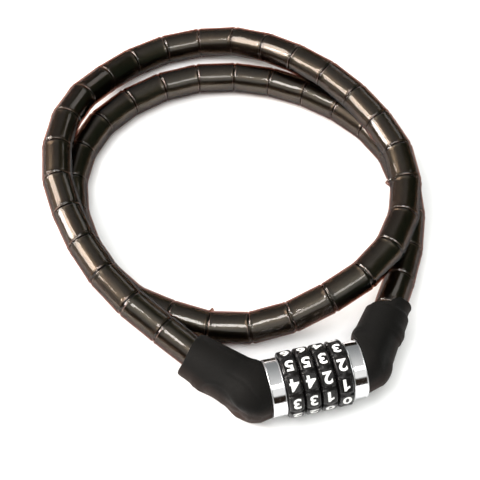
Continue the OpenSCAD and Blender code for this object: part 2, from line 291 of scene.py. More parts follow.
def smooth_curve(points):
    """A smooth curve through the points, with SMOOTH_STEPS steps to each stretch."""
    padded = np.vstack([2 * points[0] - points[1], points, 2 * points[-1] - points[-2]])
    t = (np.arange(SMOOTH_STEPS) / SMOOTH_STEPS)[:, None]
    stretches = []
    for a, b, c, d in zip(padded, padded[1:], padded[2:], padded[3:]):
        bent = (2 * a - 5 * b + 4 * c - d) * t * t + (3 * b - a - 3 * c + d) * t ** 3
        stretches.append(0.5 * (2 * b + (c - a) * t + bent))
    return np.vstack([*stretches, points[-1:]])


def travel_along(points):
    steps = np.linalg.norm(np.diff(points, axis=0), axis=1)
    return np.concatenate([[0.0], np.cumsum(steps)])


def link_joints():
    """The ball joints between the steel sleeves, at equal steps along the route."""
    route = np.vstack([
        arm_point(0, CABLE_START), arm_point(0, ARM_LENGTH),
        np.array(ROUTE) / MM,
        arm_point(1, ARM_LENGTH), arm_point(1, CABLE_START),
    ])
    curve = smooth_curve(route)
    travel = travel_along(curve)
    stops = np.linspace(0, travel[-1], LINK_COUNT + 1)
    return np.stack([np.interp(stops, travel, curve[:, axis]) for axis in range(3)], axis=1)


class Centreline:
    """Straight links joined by short round bends, with a frame that doesn't twist along it."""

    CORNER = 3.0
    STEP = 0.25

    def __init__(self, joints):
        points, self.at_joint = self.rounded(joints)
        travel = travel_along(points)
        self.at_joint = travel[self.at_joint]
        self.length = travel[-1]
        stops = np.arange(0, self.length, self.STEP)
        self.stops = np.append(stops, self.length)
        self.points = np.stack([np.interp(self.stops, travel, points[:, k]) for k in range(3)], 1)
        forward = np.gradient(self.points, axis=0)
        self.forward = forward / np.linalg.norm(forward, axis=1)[:, None]
        side = unit(np.cross(self.forward[0], (0, 0, 1)))
        sides = []
        for direction in self.forward:
            side = unit(side - direction * (side @ direction))
            sides.append(side)
        self.side = np.array(sides)

    def rounded(self, joints):
        points, marks = [joints[0]], [0]
        t = np.linspace(0, 1, 13)[:, None]
        for before, joint, after in zip(joints, joints[1:], joints[2:]):
            incoming, outgoing = unit(joint - before), unit(after - joint)
            bend = joint + self.CORNER * (t * t * outgoing - (1 - t) ** 2 * incoming)
            marks.append(len(points) + len(t) // 2)
            points.extend(bend)
        marks.append(len(points))
        points.append(joints[-1])
        return np.array(points), np.array(marks)

    def between(self, values, stop):
        """A value at any stop along the line, from the values at its own stops."""
        return np.array([np.interp(stop, self.stops, values[:, k]) for k in range(3)])

    def ring(self, stop, radii, angles):
        """Points round the line at one stop, also a little past its ends, at the radii and angles."""
        centre = self.between(self.points, stop)
        side = self.between(self.side, stop)
        forward = unit(self.between(self.forward, stop))
        side = unit(side - forward * (side @ forward))
        centre = centre + (stop - np.clip(stop, 0, self.length)) * forward
        up = np.cross(forward, side)
        out = np.cos(angles)[:, None] * side + np.sin(angles)[:, None] * up
        return centre + np.asarray(radii)[..., None] * out


joints = link_joints()
line = Centreline(joints)


# ---------------------------------------------------------------- cable materials

SHEATH_WALL = 1.0
# What one millimetre of the smoked vinyl lets through of red, green and blue
VINYL_CLEAR = (0.72, 0.61, 0.575)


def wall_length(nodes):
    """Millimetres of vinyl that a ray crosses in the sheath's wall, and the slant it comes from."""
    weight = nodes.add("ShaderNodeLayerWeight")
    weight.inputs["Blend"].default_value = 0.5
    slant = nodes.maths("SUBTRACT", 1.0, weight.outputs["Facing"])
    outer = nodes.maths("MULTIPLY", slant, CABLE_RADIUS)
    inner_square = (CABLE_RADIUS - SHEATH_WALL) ** 2 - CABLE_RADIUS ** 2
    square = nodes.maths("ADD", nodes.maths("MULTIPLY", outer, outer), inner_square)
    inner = nodes.maths("SQRT", nodes.maths("MAXIMUM", square, 0.0))
    return nodes.maths("SUBTRACT", outer, inner), slant


def vinyl_outside():
    """The sheath's outer face: a sharp gloss over smoked vinyl, darker the longer the way through."""
    material, nodes, surface = new_material("sheath_outside")
    smoke = nodes.ramp(nodes.noise(45.0), 0.90, 1.12)
    crossed, slant = wall_length(nodes)
    length = nodes.maths("MULTIPLY", crossed, smoke)
    tint = nodes.add("ShaderNodeCombineColor")
    for socket, clear_share in zip(tint.inputs, VINYL_CLEAR):
        nodes.join(nodes.maths("POWER", clear_share, length), socket)
    clear = nodes.add("ShaderNodeBsdfTransparent")
    nodes.join(tint.outputs[0], clear.inputs["Color"])
    shine = nodes.add("ShaderNodeBsdfGlossy")
    shine.inputs["Color"].default_value = rgb(1, 1, 1)
    nodes.join(nodes.ramp(nodes.noise(500.0), 0.03, 0.09), shine.inputs["Roughness"])
    nodes.join(nodes.bump(nodes.noise(160.0, 2.0), 0.32, 0.0003), shine.inputs["Normal"])
    fresnel = nodes.add("ShaderNodeFresnel")
    fresnel.inputs["IOR"].default_value = 1.5
    front = nodes.maths("SUBTRACT", 1.0, nodes.add("ShaderNodeNewGeometry").outputs["Backfacing"])
    mix = nodes.add("ShaderNodeMixShader")
    gloss = nodes.maths("MULTIPLY", fresnel.outputs[0], nodes.maths("POWER", slant, 1.4))
    nodes.join(nodes.maths("MULTIPLY", gloss, front, clamp=True), mix.inputs[0])
    nodes.join(clear.outputs[0], mix.inputs[1])
    nodes.join(shine.outputs[0], mix.inputs[2])
    nodes.join(mix.outputs[0], surface)
    return material


def vinyl_inside():
    """The sheath's inner face, where the smoke in the vinyl is thickest."""
    material, nodes, surface = new_material("sheath_inside")
    clear = nodes.add("ShaderNodeBsdfTransparent")
    cloud = nodes.ramp(nodes.noise(45.0), 0.0, 1.0)
    smoke = nodes.blend(cloud, rgb(0.44, 0.475, 0.435), rgb(0.49, 0.52, 0.48))
    nodes.join(smoke, clear.inputs["Color"])
    nodes.join(clear.outputs[0], surface)
    return material


sheath_outside = vinyl_outside()
sheath_inside = vinyl_inside()
armour = principled("armour_steel", (0.48, 0.47, 0.44), (0.38, 0.37, 0.35), (0.28, 0.38), 1.0,
                    grain=700.0, bump=0.12, blotch=80.0)
wire_rope = principled("wire_rope", (0.40, 0.40, 0.40), (0.22, 0.21, 0.20), (0.3, 0.5), 1.0,
                       grain=2000.0, bump=0.3)


# ---------------------------------------------------------------- cable pieces

SHEATH_SIDES = 48
SLEEVE_SIDES = 40
ROPE_SIDES = 36
GROOVE_DEPTH = 0.46
GROOVE_HALF = 0.55
LIP_RISE = 0.12
LIP_AT = 1.25
LIP_HALF = 0.5
# Pinched folds of vinyl on the inner side of two bends: joint, height and half length
NUBS = ((21, 3.4, 1.6), (28, 2.2, 1.3))
NUB_SPREAD = math.radians(17)
# Stops round each joint and along each link, measured from the joint
NEAR_JOINT = (0.0, 0.25, 0.5, 0.8, 1.15, 1.5, 2.0, 2.8, 4.5, 8.0)
# How far the cable's two ends run on past the first and last joint, into the elbows
LEAD = 1.9
# The vinyl's own outside, just under the cable's nominal radius
SKIN_RADIUS = CABLE_RADIUS - 0.13


def stops_between(first, last):
    """Stops along the line, close together at each joint, from one joint to another."""
    found = set()
    for index in range(first, last + 1):
        for away in NEAR_JOINT:
            for stop in (line.at_joint[index] - away, line.at_joint[index] + away):
                if line.at_joint[first] <= stop <= line.at_joint[last]:
                    found.add(round(float(stop), 4))
    if first == 0:
        found.add(-LEAD)
    if last == LINK_COUNT:
        found.add(line.length + LEAD)
    return sorted(found)


def sheath_radius(stop, angles):
    """The vinyl dips into each gap between two sleeves, over a slight lip on either side."""
    index = int(np.argmin(np.abs(line.at_joint - stop)))
    away = abs(stop - line.at_joint[index])
    groove = GROOVE_DEPTH * math.exp(-((away / GROOVE_HALF) ** 2))
    lip = LIP_RISE * math.exp(-(((away - LIP_AT) / LIP_HALF) ** 2))
    if index in (0, LINK_COUNT):
        groove = lip = 0.0
    radii = np.full(len(angles), SKIN_RADIUS + lip - groove)
    radii += 0.03 * np.sin(3 * angles + 1.7 * stop) + 0.02 * np.sin(5 * angles - 0.9 * stop)
    for joint, height, half in NUBS:
        if joint != index:
            continue
        before, here, after = joints[joint - 1:joint + 2]
        inward = unit(after - here) - unit(here - before)
        side = line.between(line.side, line.at_joint[joint])
        forward = unit(after - before)
        at = math.atan2(inward @ np.cross(forward, side), inward @ side)
        off = (angles - at + math.pi) % (2 * math.pi) - math.pi
        radii += height * np.exp(-((off / NUB_SPREAD) ** 2) - (away / half) ** 2)
    return radii


def make_sheath(name, first, last):
    """A hollow vinyl tube: the outer wall, then the inner wall back again, closed at both ends."""
    angles = np.arange(SHEATH_SIDES) * 2 * math.pi / SHEATH_SIDES
    stops = stops_between(first, last)
    outer = [line.ring(stop, sheath_radius(stop, angles), angles) for stop in stops]
    inner = [
        line.ring(stop, np.minimum(sheath_radius(stop, angles), CABLE_RADIUS) - SHEATH_WALL, angles)
        for stop in reversed(stops)
    ]
    faces = grid_faces(2 * len(stops), SHEATH_SIDES, True)
    inside = [len(stops) <= index // SHEATH_SIDES < 2 * len(stops) - 1 for index in range(len(faces))]
    return add_piece(name, np.vstack(outer + inner), faces, [sheath_outside, sheath_inside], inside)


# One pressed sleeve: distance from its first joint, or from its last one, and radius in millimetres
SLEEVE_START = (
    (-3.2, 5.2), (-2.2, 5.75), (-1.1, 6.1), (0.0, 6.2), (0.4, 6.2), (0.42, 7.2), (0.55, 7.65),
    (0.8, 7.88), (1.05, 7.92), (1.3, 7.86), (1.6, 7.7), (3.0, 7.7), (8.0, 7.7),
)
SLEEVE_END = (
    (-8.0, 7.7), (-3.0, 7.7), (-1.6, 7.7), (-1.3, 7.86), (-1.05, 7.92), (-0.8, 7.88), (-0.55, 7.65),
    (-0.42, 7.2), (-0.42, 6.6), (-4.5, 6.6),
)
SLEEVE_BORE = ((3.4, 3.5), (-3.2, 3.5))
# The first sleeve's nose is shortened to this share, so that it stays clear of the elbow
FIRST_NOSE = 0.55
# The part of the last sleeve's skirt that runs on with the lead, measured back from its joint
LED_SKIRT = -2


def sleeve_outline(index):
    """One sleeve's outline as (stop along the line, radius): outside, skirt, and back along the bore."""
    start, end = line.at_joint[index], line.at_joint[index + 1]
    nose = FIRST_NOSE if index == 0 else 1.0
    lead = LEAD if index == LINK_COUNT - 1 else 0.0
    outline = [(end + away + (lead if away > LED_SKIRT else 0), radius) for away, radius in SLEEVE_END]
    front, bore = (
        [(start + away * (nose if away < 0 else 1), radius) for away, radius in knots]
        for knots in (SLEEVE_START, SLEEVE_BORE)
    )
    return front + outline + bore


def make_sleeves(name, first, last):
    """The steel sleeves between two joints, each one a closed shell with a ball nose and a skirt."""
    angles = np.arange(SLEEVE_SIDES) * 2 * math.pi / SLEEVE_SIDES
    points, faces, used = [], [], 0
    for index in range(first, last):
        outline = sleeve_outline(index)
        rings = [line.ring(stop, np.full(SLEEVE_SIDES, radius), angles) for stop, radius in outline]
        points.extend(rings)
        faces += grid_faces(len(rings), SLEEVE_SIDES, True, used)
        used += len(rings) * SLEEVE_SIDES
    return add_piece(name, np.vstack(points), faces, [armour])


STRANDS = 6
STRAND_RADIUS = CORE_RADIUS / 3
LAY = 26.0
# Keeps the valley between two strands round, in square millimetres
VALLEY_FLOOR = 0.05
ROPE_STEP = 1.6


def rope_radius(stop, angles):
    """The outline of six strands laid round a core, turning as they go along."""
    turn = 2 * math.pi / STRANDS
    off = (angles - 2 * math.pi * stop / LAY + turn / 2) % turn - turn / 2
    reach = 2 * STRAND_RADIUS
    half_chord = np.sqrt(np.maximum(STRAND_RADIUS ** 2 - (reach * np.sin(off)) ** 2, VALLEY_FLOOR))
    return reach * np.cos(off) + half_chord


def make_rope(name, first, last, start_along=None, end_along=None):
    """The wire rope, which runs on into the ferrule at a boot's end."""
    angles = np.arange(ROPE_SIDES) * 2 * math.pi / ROPE_SIDES
    low, high = line.at_joint[first], line.at_joint[last]
    stops = np.linspace(low, high, int((high - low) / ROPE_STEP))
    rings = [line.ring(stop, rope_radius(stop, angles), angles) for stop in stops]
    for along, side, end in ((start_along, 0, 0), (end_along, 1, -1)):
        if along is None:
            continue
        steps = np.linspace(0, CABLE_START - along, 12)[1:]
        extra = [rings[end] - arm_dir(side) * step for step in steps]
        rings = list(reversed(extra)) + rings if end == 0 else rings + extra
    faces = grid_faces(len(rings), ROPE_SIDES, False)
    last_ring = (len(rings) - 1) * ROPE_SIDES
    faces.append(tuple(reversed(range(ROPE_SIDES))))
    faces.append(tuple(last_ring + k for k in range(ROPE_SIDES)))
    return add_piece(name, np.vstack(rings), faces, [wire_rope])


FERRULE_INSIDE = 15.0
main_sheath = make_sheath("sheath_main", 0, TAIL_START)
main_sleeves = make_sleeves("sleeves_main", 0, TAIL_START)
main_rope = make_rope("rope_main", 0, TAIL_START, start_along=FERRULE_INSIDE)
tail_sheath = make_sheath("sheath_tail", TAIL_START, LINK_COUNT)
tail_sleeves = make_sleeves("sleeves_tail", TAIL_START, LINK_COUNT)
tail_rope = make_rope("rope_tail", TAIL_START, LINK_COUNT, end_along=FERRULE_INSIDE)

for piece, node in (
    (main_sheath, "cable_sheath"), (main_sleeves, "cable_sleeves"), (main_rope, "cable_core"),
):
    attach(piece, "root")
    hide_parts(node)
for piece, node in (
    (tail_sheath, "tail_sheath"), (tail_sleeves, "tail_sleeves"), (tail_rope, "tail_core"),
):
    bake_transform(piece)
    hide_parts(node)


# ---------------------------------------------------------------- rubber boots

BALL_X = (-34.0, 28.5)
BALL_RADIUS = (15.9, 14.9)
MOUTH_SHIFT = (-1.4, 0.5)
MOUTH_RADIUS = 11.6
CUFF_RADIUS = COLLAR_RADIUS - 0.1
FACE_X = COLLAR_END + 0.1
# The pivot that the section planes turn about, and where each plane meets the boot's middle line
PIVOT = ((-25.7, 20.0), (25.7, 23.0))
REACH = ((20.0, 19.1), (23.0, 17.0))
FAN_END = (10.2, 16.4)
# How far each side of a boot stands out from its plain cone, at distances along the cone
LEFT_OUTER = (
    (-13.0, -1.0), (-8.0, -2.0), (-2.4, -4.0), (4.5, -2.6), (11.5, -0.9), (18.0, -0.5), (27.5, 0.6),
    (31.0, 0.1), (38.0, 0.4),
)
RIGHT_OUTER = (
    (-6.0, -2.6), (2.5, -3.0), (10.0, -2.1), (17.8, -1.75), (20.0, -0.4), (23.6, 0.2), (27.2, -0.3),
    (33.0, 0.0), (36.4, -1.4), (42.4, -0.2), (44.5, -0.5),
)
RIGHT_INNER = ((9.5, 0.8), (12.5, 0.7), (15.0, -0.1), (20.0, -1.0), (34.0, -1.1))
# Room for the elbow casting: radii of its stub, ball and arm, and how far the arm reaches
STUB_ROOM = 10.8
BALL_ROOM = 11.2
ARM_ROOM = 10.2
ARM_REACH = 34.2
# The hole round the cable, along the boot's arm and along the cable's own first link
ARM_HOLE = 9.25
LINK_HOLE = 9.12
# The cones start this far inside the collar's face and end this far beyond the mouth
CUFF_BACK = 4.0
MOUTH_BEYOND = 6
BEND_FILLET = 3.0
CASTING_FILLET = 1.2
RUBBER_OVER_CASTING = 0.3
THINNEST_RUBBER = 0.45
# The farthest that a ray looks for the surface, and how often its range is halved
FARTHEST = 24.0
HALVINGS = 34
FAN_ROWS = 46
ARM_ROWS = 64
BOOT_COLUMNS = 112
RIM_ROUND = 0.7
# The left boot's finger grip: an oval hollow with a raised rim just outside the oval
GRIP_MIDDLE = 10.5
GRIP_HALF_LENGTH = 13.5
GRIP_HALF_ANGLE = 50
GRIP_DEPTH = 0.85
GRIP_WALL = 0.80
GRIP_RIM = 0.22
GRIP_RIM_AT = 1.08
GRIP_RIM_HALF = 0.07
# The crease over the left boot: its angle falls towards the collar, and it fades in and out
CREASE_DEPTH = 0.3
CREASE_HALF = 3.2
CREASE_ANGLE = 79
CREASE_FALL = 11
CREASE_FADES = ((-10, -5), (9, 15))
# Angles from the middle of its outer side between which each boot's outer profile fades out
OUTER_FADE = ((12, 48), (30, 80))
# How far each boot's edge steps in next to the collar
FACE_STEP = (0.35, 0.3)
# The right boot's mouth: a narrow neck on its outer side, and a shoulder down to the cable elsewhere
NECK_DEPTH = 1.5
SHOULDER_DEPTH = 3.0
# Where the rubber ends along the arm, and how much sooner on the side that is cut back
MOUTH_END = (38.7, 40.0)
MOUTH_CUT = (2.3, 5.6)


def profile(knots, along):
    """A smooth curve through (distance, value) knots."""
    value = np.full(along.shape, knots[0][1])
    for (low, before), (high, after) in zip(knots, knots[1:]):
        value = np.where(along > low, before + (after - before) * smooth_step(low, high, along), value)
    return value


def smooth_union(a, b, radius):
    """The union of two shapes from their distances, with a fillet of about the radius."""
    h = np.clip(0.5 + 0.5 * (b - a) / radius, 0, 1)
    return b * (1 - h) + a * h - radius * h * (1 - h)


def capped_cone(points, start, end, start_radius, end_radius):
    """Distance outside a round cone between two centres."""
    length = np.linalg.norm(end - start)
    axis = (end - start) / length
    along = np.clip((points - start) @ axis, 0, length)
    radius = start_radius + (end_radius - start_radius) * along / length
    return np.linalg.norm(points - start - along[..., None] * axis, axis=-1) - radius


class Boot:
    """A rubber boot: a cuff behind the collar, a ball at the bend and a cone out to the mouth."""

    def __init__(self, side):
        self.side = side
        self.sign = -1 if side == 0 else 1
        across = np.array([-arm_dir(side)[1], arm_dir(side)[0], 0.0])
        self.ball = np.array([BALL_X[side], 0.0, AXIS_HEIGHT])
        self.cuff_start = np.array([self.sign * (FACE_X - CUFF_BACK), 0.0, AXIS_HEIGHT])
        self.mouth = arm_point(side, ARM_LENGTH) + self.sign * MOUTH_SHIFT[side] * across
        self.axis = unit(self.mouth - self.ball)
        self.out = self.sign * np.array([self.axis[1], -self.axis[0], 0.0])

    def outside(self, points):
        """Distance outside the rubber: cuff and cone with their relief, never inside the casting."""
        cuff = capped_cone(points, self.cuff_start, self.ball, CUFF_RADIUS, BALL_RADIUS[self.side])
        cone = capped_cone(points, self.ball, self.mouth + MOUTH_BEYOND * self.axis,
                           BALL_RADIUS[self.side], MOUTH_RADIUS)
        body = smooth_union(cuff, cone, BEND_FILLET)
        along = (points - self.ball) @ self.axis
        away = points - self.ball - along[..., None] * self.axis
        angle = np.degrees(np.arctan2(away[..., 2], away @ self.out))
        relief = self.left_relief if self.side == 0 else self.right_relief
        body = body + relief(along, angle, points)
        return smooth_union(body, self.casting(points) - RUBBER_OVER_CASTING, CASTING_FILLET)

    def left_relief(self, along, angle, points):
        """An oval finger grip on the outer side, a soft crease over the top and a step at the collar."""
        oval = np.hypot((along - GRIP_MIDDLE) / GRIP_HALF_LENGTH, angle / GRIP_HALF_ANGLE)
        grip = GRIP_DEPTH * (1 - smooth_step(GRIP_WALL, 1.0, oval))
        grip -= GRIP_RIM * np.exp(-(((oval - GRIP_RIM_AT) / GRIP_RIM_HALF) ** 2))
        line_angle = CREASE_ANGLE - CREASE_FALL * smooth_step(0, 1, (4.0 - along) / 14)
        starts, stops = CREASE_FADES
        ends = smooth_step(*starts, along) * (1 - smooth_step(*stops, along))
        crease = CREASE_DEPTH * ends * np.exp(-(((angle - line_angle) / CREASE_HALF) ** 2))
        step = FACE_STEP[0] * (1 - smooth_step(0.8, 2.2, -points[..., 0] - FACE_X))
        outer = profile(LEFT_OUTER, along) * (1 - smooth_step(*OUTER_FADE[0], np.abs(angle + 4)))
        return grip + crease + step - outer

    def right_relief(self, along, angle, points):
        """Finger steps and a swollen lip down the outer side, and a step at the collar."""
        outer = profile(RIGHT_OUTER, along) * (1 - smooth_step(*OUTER_FADE[1], np.abs(angle)))
        inner = profile(RIGHT_INNER, along) * smooth_step(100, 150, np.abs(angle))
        neck = NECK_DEPTH * smooth_step(32, 37, along) * smooth_step(30, 60, np.abs(angle))
        shoulder = SHOULDER_DEPTH * smooth_step(32.6, 34.4, along) * smooth_step(72, 98, np.abs(angle))
        step = FACE_STEP[1] * (1 - smooth_step(0.8, 2.0, points[..., 0] - FACE_X))
        return neck + shoulder + step - outer - inner

    def casting(self, points):
        """Distance outside the room for the elbow casting: a stub, a ball and an arm."""
        bend = arm_point(self.side, 0)
        stub = capped_cone(points, self.cuff_start, bend, STUB_ROOM, STUB_ROOM)
        ball = np.linalg.norm(points - bend, axis=-1) - BALL_ROOM
        arm = capped_cone(points, bend, arm_point(self.side, ARM_REACH), ARM_ROOM, ARM_ROOM)
        return np.minimum.reduce([stub, ball, arm])

    def inside(self, points):
        """The cavity: round the elbow casting, then close round the cable."""
        start, bend = arm_point(self.side, CABLE_START), arm_point(self.side, 0)
        cable = capped_cone(points, bend, start, ARM_HOLE, ARM_HOLE)
        first, second = (joints[0], joints[1]) if self.side == 0 else (joints[-1], joints[-2])
        link = capped_cone(points, first, second, LINK_HOLE, LINK_HOLE)
        return np.minimum.reduce([self.casting(points), cable, link])

    def mouth_end(self, angle):
        """How far along the arm the rubber reaches at each angle from its outer side, in degrees."""
        if self.side == 0:
            cut_back = np.exp(-(((angle - 45) / 45) ** 2))
        else:
            cut_back = smooth_step(62, 105, np.abs(angle))
        return MOUTH_END[self.side] - MOUTH_CUT[self.side] * cut_back

    def planes(self):
        """Where each section plane's rays start, and the level direction that they fan out from."""
        pivot = np.array([*PIVOT[self.side], AXIS_HEIGHT])
        start_angle = -math.pi / 2
        outward = self.sign * np.array([arm_dir(self.side)[1], -arm_dir(self.side)[0]])
        end_angle = math.atan2(outward[1], outward[0])
        if self.side == 0:
            end_angle -= 2 * math.pi if end_angle > 0 else 0
        near, far = REACH[self.side]
        found = []
        for share in np.linspace(0, 1, FAN_ROWS):
            angle = start_angle + (end_angle - start_angle) * share
            level = np.array([math.cos(angle), math.sin(angle), 0.0])
            start = pivot + (near + (far - near) * share) * level
            found.append((np.repeat(start[None], BOOT_COLUMNS, 0), level))
        angles = (np.arange(BOOT_COLUMNS) * 360 / BOOT_COLUMNS + 180) % 360 - 180
        reach = self.mouth_end(angles) - FAN_END[self.side]
        for share in np.linspace(0, 1, ARM_ROWS)[1:]:
            along = FAN_END[self.side] + share * reach
            starts = arm_point(self.side, 0) + along[:, None] * arm_dir(self.side)
            found.append((starts, level))
        return found

    def cast(self, distance):
        """How far the surface is from each plane's start, along each of its rays."""
        angles = np.arange(BOOT_COLUMNS) * 2 * math.pi / BOOT_COLUMNS
        upward = np.sin(angles)[:, None] * np.array([0, 0, 1.0])
        planes = self.planes()
        starts = np.array([origins for origins, _ in planes])
        rays = np.array([np.cos(angles)[:, None] * level + upward for _, level in planes])
        near, far = np.zeros(rays.shape[:2]), np.full(rays.shape[:2], FARTHEST)
        for _ in range(HALVINGS):
            middle = (near + far) / 2
            within = distance(starts + middle[..., None] * rays) < 0
            near, far = np.where(within, middle, near), np.where(within, far, middle)
        return starts, rays, near

    def build(self, name, material):
        starts, rays, outer = self.cast(self.outside)
        _, _, inner = self.cast(self.inside)
        inner = np.minimum(inner, outer - THINNEST_RUBBER)
        rows = list(starts + outer[..., None] * rays)
        hollow = list(starts + inner[..., None] * rays)
        towards_face = np.array([-self.sign, 0, 0.0])
        rows = self.rounded_end(rows, rays[0], outer[0], starts[0], towards_face, 0)
        rows = self.rounded_end(rows, rays[-1], outer[-1], starts[-1], arm_dir(self.side), -1)
        points = np.vstack([*rows, *reversed(hollow)])
        faces = grid_faces(len(rows) + len(hollow), BOOT_COLUMNS, True)
        if self.side == 0:
            faces = [tuple(reversed(face)) for face in faces]
        return add_piece(name, points, faces, [material])

    def rounded_end(self, rows, rays, reach, start, forward, end):
        """Replaces an end row by a small round edge that stays behind the end plane."""
        edge = [
            start + (reach - RIM_ROUND * (1 - math.cos(t)))[:, None] * rays
            - RIM_ROUND * (1 - math.sin(t)) * forward
            for t in np.linspace(0, math.pi / 2, 4)
        ]
        others = rows[1:] if end == 0 else rows[:-1]
        keep = [row for row in others if np.min((row - start) @ -forward) > RIM_ROUND]
        return edge[::-1] + keep if end == 0 else keep + edge


# Heights in metres between which a painted floor bounce fades in, from the plain black rubber above to a
# warmer, lighter colour below
PAINTED_BOUNCE_ENDS_ABOVE = 0.026
PAINTED_BOUNCE_FULL_BELOW = 0.008


def boot_rubber():
    """Matte black rubber, with painted floor bounce: warmer and a little lighter low down, where the
    floor would light it.
    """
    material = principled("boot_rubber", (0.0042, 0.0040, 0.0038), (0.0062, 0.0056, 0.0050),
                          (0.60, 0.78), grain=1500.0, bump=0.30, blotch=35.0, specular=0.09,
                          depth=0.00003)
    nodes = Nodes(material.node_tree, clear=False)
    shader = next(node for node in nodes.tree.nodes if node.type == "BSDF_PRINCIPLED")
    base = shader.inputs["Base Color"]
    black = base.links[0].from_socket
    split = nodes.add("ShaderNodeSeparateXYZ")
    nodes.join(nodes.place(), split.inputs[0])
    # Painted floor bounce: the colour turns warmer and lighter towards the bottom, in place of light
    # from the floor.
    painted_bounce = nodes.ramp(split.outputs["Z"], 0.0, 1.0, PAINTED_BOUNCE_ENDS_ABOVE, PAINTED_BOUNCE_FULL_BELOW)
    nodes.join(nodes.blend(painted_bounce, black, rgb(0.040, 0.024, 0.019)), base)
    return material


rubber = boot_rubber()
left_boot = Boot(0).build("boot_left", rubber)
right_boot = Boot(1).build("boot_right", rubber)
for piece, node, body in ((left_boot, "left_boot", "root"), (right_boot, "right_boot", "bolt_end")):
    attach(piece, body)
    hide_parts(node)


# ---------------------------------------------------------------- dials

DIAL_RADIUS = 17.5
FLAT_RADIUS = 17.0
PANEL_HALF = 2.75
BORE_RADIUS = 11.5
SHOULDER = 2.1
SHOULDER_LENGTH = 1.5
DIGIT_STEP = 36.0
DIAL_COLUMNS = 360
# The flat under a digit reaches FLAT_HALF degrees each way, and fades out over FLAT_FADE more
FLAT_HALF = 12.0
FLAT_FADE = 1.2
SCALLOP_DEPTH = 0.95
SCALLOP_HALF = 3.6
# Mesh rows over a flat, from the dial's middle plane, and the least gap after them
PANEL_ROWS = (0.6, 1.2, 1.8, 2.3, 2.45, 2.52, 2.6, 2.66)
ROW_GAP = 0.03
FACE_DROP = 0.5
BORE_BEVEL = 0.4
# Angle from straight up towards the front of one digit of each dial, and that digit
DIAL_DIGITS = ((27.0, 4), (27.0, 4), (27.0, 2), (47.0, 1))
DIGIT_HEIGHT = 6.5
DIGIT_WIDTH = 5.1
# The digit 1 drawn from listed points, half its height being 0.5: a bold stem with a flag
ONE_OUTLINE = (
    (0.20, -0.5), (0.20, 0.5), (0.04, 0.5), (-0.06, 0.36), (-0.24, 0.27), (-0.24, 0.11),
    (-0.02, 0.18), (-0.02, -0.5),
)
DIGIT_RISE = 0.05
DIGIT_SINK = 0.08


def dial_outer_radius(x, degrees, first_digit):
    """Radius of the dial's skin: domed shoulders, a flat for each digit and scallops between them."""
    half = DIAL_WIDTH / 2
    edge = np.clip((abs(x) - (half - SHOULDER_LENGTH)) / SHOULDER_LENGTH, 0, 1)
    radius = DIAL_RADIUS - SHOULDER * (1 - math.sqrt(max(0.0, 1 - edge * edge)))
    off = (degrees - first_digit + DIGIT_STEP / 2) % DIGIT_STEP - DIGIT_STEP / 2
    flat = FLAT_RADIUS / np.cos(np.radians(off))
    across = 1 - smooth_step(PANEL_HALF - 0.25, PANEL_HALF, np.abs(x))
    along = 1 - smooth_step(FLAT_HALF, FLAT_HALF + FLAT_FADE, np.abs(off))
    skin = radius - np.maximum(radius - flat, 0) * across * along
    between = np.abs(off) - DIGIT_STEP / 2
    ridge = np.exp(-((between / SCALLOP_HALF) ** 4))
    return skin - SCALLOP_DEPTH * ridge * smooth_step(0.4, 3.4, abs(x))


def make_dial(index, centre_x, material):
    """One dial ring: the skin, both faces and the bore, as one closed shell."""
    half = DIAL_WIDTH / 2
    first_digit = DIAL_DIGITS[index][0]
    degrees = np.arange(DIAL_COLUMNS) * 360.0 / DIAL_COLUMNS
    shoulder = [half - SHOULDER_LENGTH * (1 - math.sin(t)) for t in np.linspace(0, math.pi / 2, 9)]
    right = [*PANEL_ROWS, *(x for x in shoulder if x > PANEL_ROWS[-1] + ROW_GAP)]
    xs = [-x for x in reversed(right)] + [0.0] + right
    angles = np.radians(degrees)
    rows = []

    def add_row(x, radii):
        rows.append(np.stack([np.full(DIAL_COLUMNS, centre_x + x), -radii * np.sin(angles),
                              AXIS_HEIGHT + radii * np.cos(angles)], axis=1))

    for x in xs:
        add_row(x, dial_outer_radius(x, degrees, first_digit))
    edge = np.minimum(dial_outer_radius(half, degrees, first_digit), DIAL_RADIUS - SHOULDER)
    rim = edge - FACE_DROP
    bore = np.full(DIAL_COLUMNS, BORE_RADIUS)
    add_row(half, rim)
    add_row(half, bore + BORE_BEVEL)
    add_row(half - BORE_BEVEL, bore)
    add_row(-half + BORE_BEVEL, bore)
    add_row(-half, bore + BORE_BEVEL)
    add_row(-half, rim)
    faces = [tuple(reversed(face)) for face in grid_faces(len(rows), DIAL_COLUMNS, True)]
    return add_piece(f"dial_ring_{index + 1}", np.vstack(rows), faces, [material])


def one_shape():
    """The digit 1 as a thin prism, like the ones that digit_shape returns."""
    count = len(ONE_OUTLINE)
    points = np.array([(x, y, z) for z in (1.0, -1.0) for x, y in ONE_OUTLINE])
    faces = [tuple(range(count)), tuple(reversed(range(count, 2 * count)))]
    for k in range(count):
        after = (k + 1) % count
        faces.append((k, count + k, count + after, after))
    return points, faces


def digit_shape(digit):
    """The outline mesh of a bold digit, centred, one unit high: its points and its faces."""
    if digit == 1:
        return one_shape()
    curve = bpy.data.curves.new("digit", "FONT")
    curve.body = str(digit)
    curve.offset = 0.028
    curve.extrude = 0.05
    curve.resolution_u = 6
    text = bpy.data.objects.new("digit", curve)
    mesh = text.to_mesh()
    points = np.array([vertex.co for vertex in mesh.vertices])
    faces = [tuple(polygon.vertices) for polygon in mesh.polygons]
    low, high = points.min(0), points.max(0)
    points = (points - (low + high) / 2) / (high[1] - low[1])
    points[:, 2] = np.sign(points[:, 2])
    text.to_mesh_clear()
    bpy.data.objects.remove(text)
    bpy.data.curves.remove(curve)
    return points, faces


DIGITS = [digit_shape(digit) for digit in range(10)]
WIDEST = max(np.ptp(points[:, 0]) for points, _ in DIGITS)


